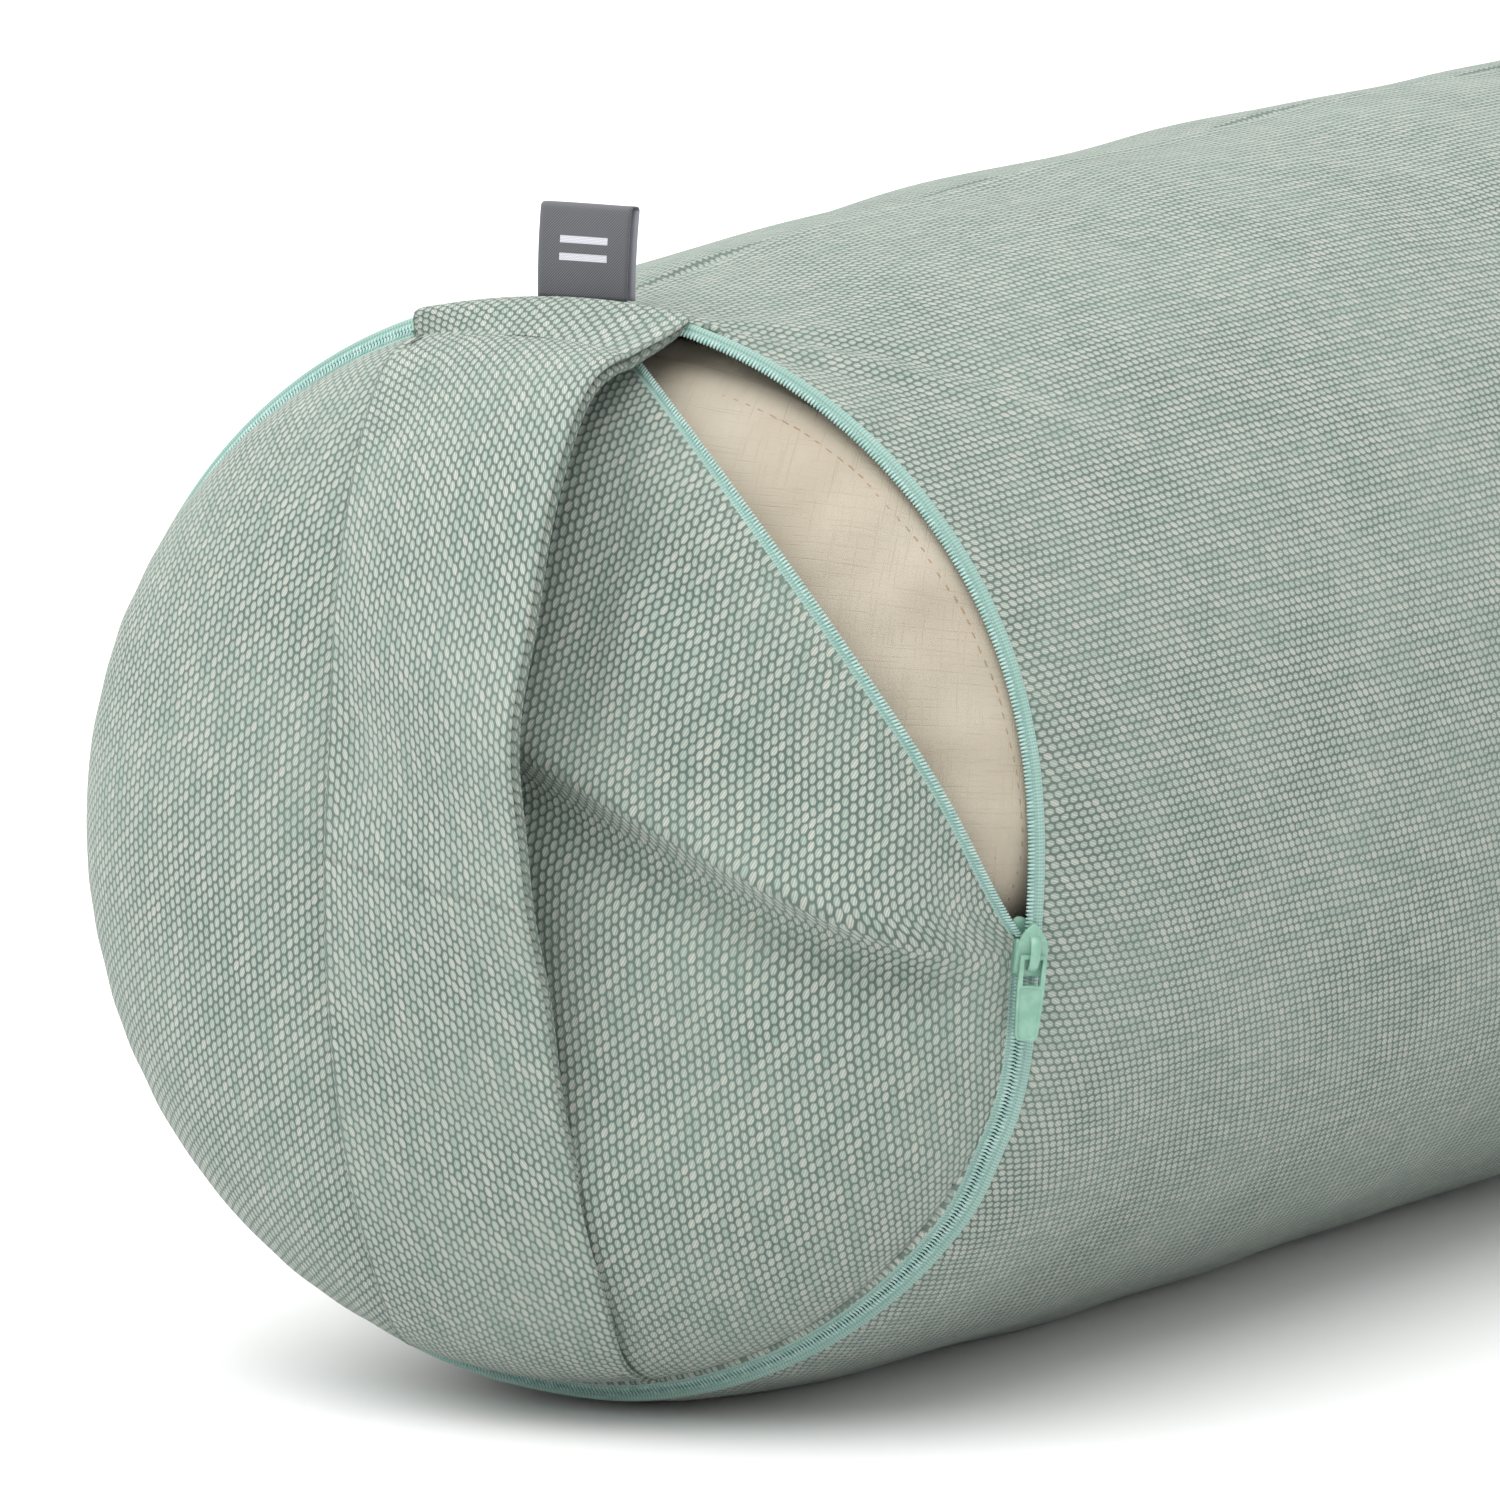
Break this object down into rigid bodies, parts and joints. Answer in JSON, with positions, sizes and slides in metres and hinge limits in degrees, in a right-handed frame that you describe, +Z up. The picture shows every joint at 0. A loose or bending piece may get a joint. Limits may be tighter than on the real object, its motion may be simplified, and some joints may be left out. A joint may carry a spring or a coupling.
{
  "type": "bolster pillow",
  "caption": "Round stuffed bolster with a zipped fabric cover, a carrying strap across one end and a cotton inner cushion.",
  "frame": {"origin": "middle of the flat underside that the bolster lies on", "axes": "+X along the bolster from the zipped end to the plain end, +Z up, -Y towards the side where the zip stands open"},
  "size_m": [0.6587, 0.22, 0.2271],
  "materials": {
    "cover_fabric": "sage green and off-white basket weave upholstery cloth",
    "cover_thread": "sage green sewing thread",
    "zip_tape": "mint green woven polyester tape",
    "zip_coil": "mint green nylon coil",
    "zip_metal": "mint green enamelled zinc",
    "label_weave": "charcoal grey woven satin label",
    "inner_cotton": "unbleached cotton calico",
    "inner_thread": "unbleached cotton thread",
    "husk_filling": "loose grain husks"
  },
  "bodies": {
    "bolster": {"cover_tube": "cover_fabric", "tube_seam_thread": "cover_thread", "far_end_panel": "cover_fabric", "far_seam_thread": "cover_thread", "end_panel": "cover_fabric", "zip_tape_tube_side": "zip_tape", "zip_tape_panel_side": "zip_tape", "zip_coil_tube_side": "zip_coil", "zip_coil_panel_side": "zip_coil", "zip_top_stop": "zip_metal", "zip_bottom_stop": "zip_metal", "handle_top_end": "cover_fabric", "handle_bottom_end": "cover_fabric", "inner_tube": "inner_cotton", "inner_front_disc": "inner_cotton", "inner_back_disc": "inner_cotton", "inner_seam_thread": "inner_thread", "filling": "husk_filling"},
    "panel_flap": {"end_panel_flap": "cover_fabric", "zip_tape_flap_side": "zip_tape", "zip_coil_flap_side": "zip_coil"},
    "zip_slider": {"zip_slider_body": "zip_metal", "zip_slider_bridge": "zip_metal"},
    "pull": {"zip_pull": "zip_metal"},
    "strap": {"handle_grip": "cover_fabric"},
    "label": {"side_label": "label_weave"}
  },
  "joints": [
    {"name": "zip_run", "type": "hinge", "parent": "bolster", "child": "zip_slider", "pos_m": [-0.28, 0, 0.105], "axis": [1, 0, 0], "range_deg": [-78, 0]},
    {"name": "zip_pull_swing", "type": "hinge", "parent": "zip_slider", "child": "pull", "pos_m": [-0.28251, -0.10121, 0.08866], "axis": [-0.7071, 0.6993, 0.1045], "range_deg": [0, 130]},
    {"name": "flap_fold", "type": "hinge", "parent": "bolster", "child": "panel_flap", "pos_m": [-0.28, -0.05327, 0.15026], "axis": [0, -0.6475, -0.7621], "range_deg": [-60, 0], "deforming": ["end_panel_flap", "zip_tape_flap_side", "zip_coil_flap_side"]},
    {"name": "strap_lift", "type": "slide", "parent": "bolster", "child": "strap", "axis": [-1, 0, 0], "range_m": [0, 0.028]},
    {"name": "label_flip", "type": "hinge", "parent": "bolster", "child": "label", "pos_m": [-0.274, -0.0015, 0.2096], "axis": [0, 1, 0], "range_deg": [-55, 80], "stiffness_Nm_per_rad": 0.0005}
  ],
  "couplings": [
    {"joint": "flap_fold", "follows": "zip_run", "ratio": 0.76923}
  ]
}
